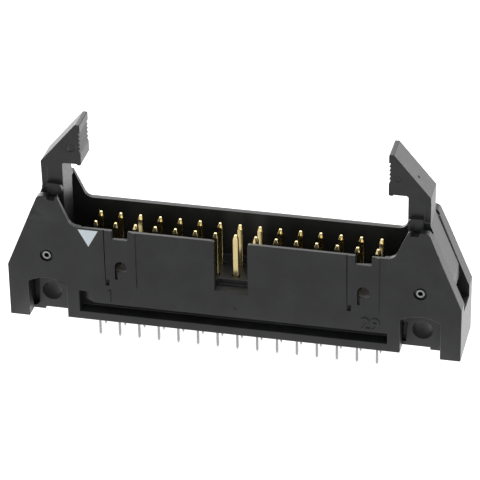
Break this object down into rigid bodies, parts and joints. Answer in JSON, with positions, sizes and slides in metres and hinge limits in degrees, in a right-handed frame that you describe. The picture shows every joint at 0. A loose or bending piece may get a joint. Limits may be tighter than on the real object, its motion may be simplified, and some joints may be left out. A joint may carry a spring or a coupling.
{
  "type": "box header connector",
  "caption": "Straight two-row box header for a board, with a polarity notch, tall end towers and a hinged ejector lever at each end that locks and lifts out a cable socket.",
  "frame": {"origin": "middle of the contact grid, on the top face of the board that the feet stand on", "axes": "+X along the contact rows, with the wide-gap key panel at +X; -Y towards the notched wall; +Z away from the board"},
  "size_m": [0.0572, 0.0085, 0.0301],
  "materials": {
    "housing_plastic": "black glass-filled thermoplastic, fine matte mould texture",
    "lever_plastic": "black glass-filled thermoplastic, satin",
    "pin_steel": "rolled spring steel, plain",
    "contact_metal": "copper alloy, gold flash on the mating end and matte tin on the tail"
  },
  "bodies": {
    "header": {"housing": "housing_plastic", "hinge_pin_left": "pin_steel", "hinge_pin_right": "pin_steel", "contact_01": "contact_metal", "contact_02": "contact_metal", "contact_03": "contact_metal", "contact_04": "contact_metal", "contact_05": "contact_metal", "contact_06": "contact_metal", "contact_07": "contact_metal", "contact_08": "contact_metal", "contact_09": "contact_metal", "contact_10": "contact_metal", "contact_11": "contact_metal", "contact_12": "contact_metal", "contact_13": "contact_metal", "contact_14": "contact_metal", "contact_15": "contact_metal", "contact_16": "contact_metal", "contact_17": "contact_metal", "contact_18": "contact_metal", "contact_19": "contact_metal", "contact_20": "contact_metal", "contact_21": "contact_metal", "contact_22": "contact_metal", "contact_23": "contact_metal", "contact_24": "contact_metal", "contact_25": "contact_metal", "contact_26": "contact_metal", "contact_27": "contact_metal", "contact_28": "contact_metal", "contact_29": "contact_metal", "contact_30": "contact_metal"},
    "left_lever": {"ejector_lever_left": "lever_plastic"},
    "right_lever": {"ejector_lever_right": "lever_plastic"}
  },
  "joints": [
    {"name": "left_lever_hinge", "type": "hinge", "parent": "header", "child": "left_lever", "pos_m": [-0.0235, -0.0002, 0.009], "axis": [0, -1, 0], "range_deg": [0, 45]},
    {"name": "right_lever_hinge", "type": "hinge", "parent": "header", "child": "right_lever", "pos_m": [0.0235, -0.0002, 0.009], "axis": [0, 1, 0], "range_deg": [0, 45]}
  ]
}
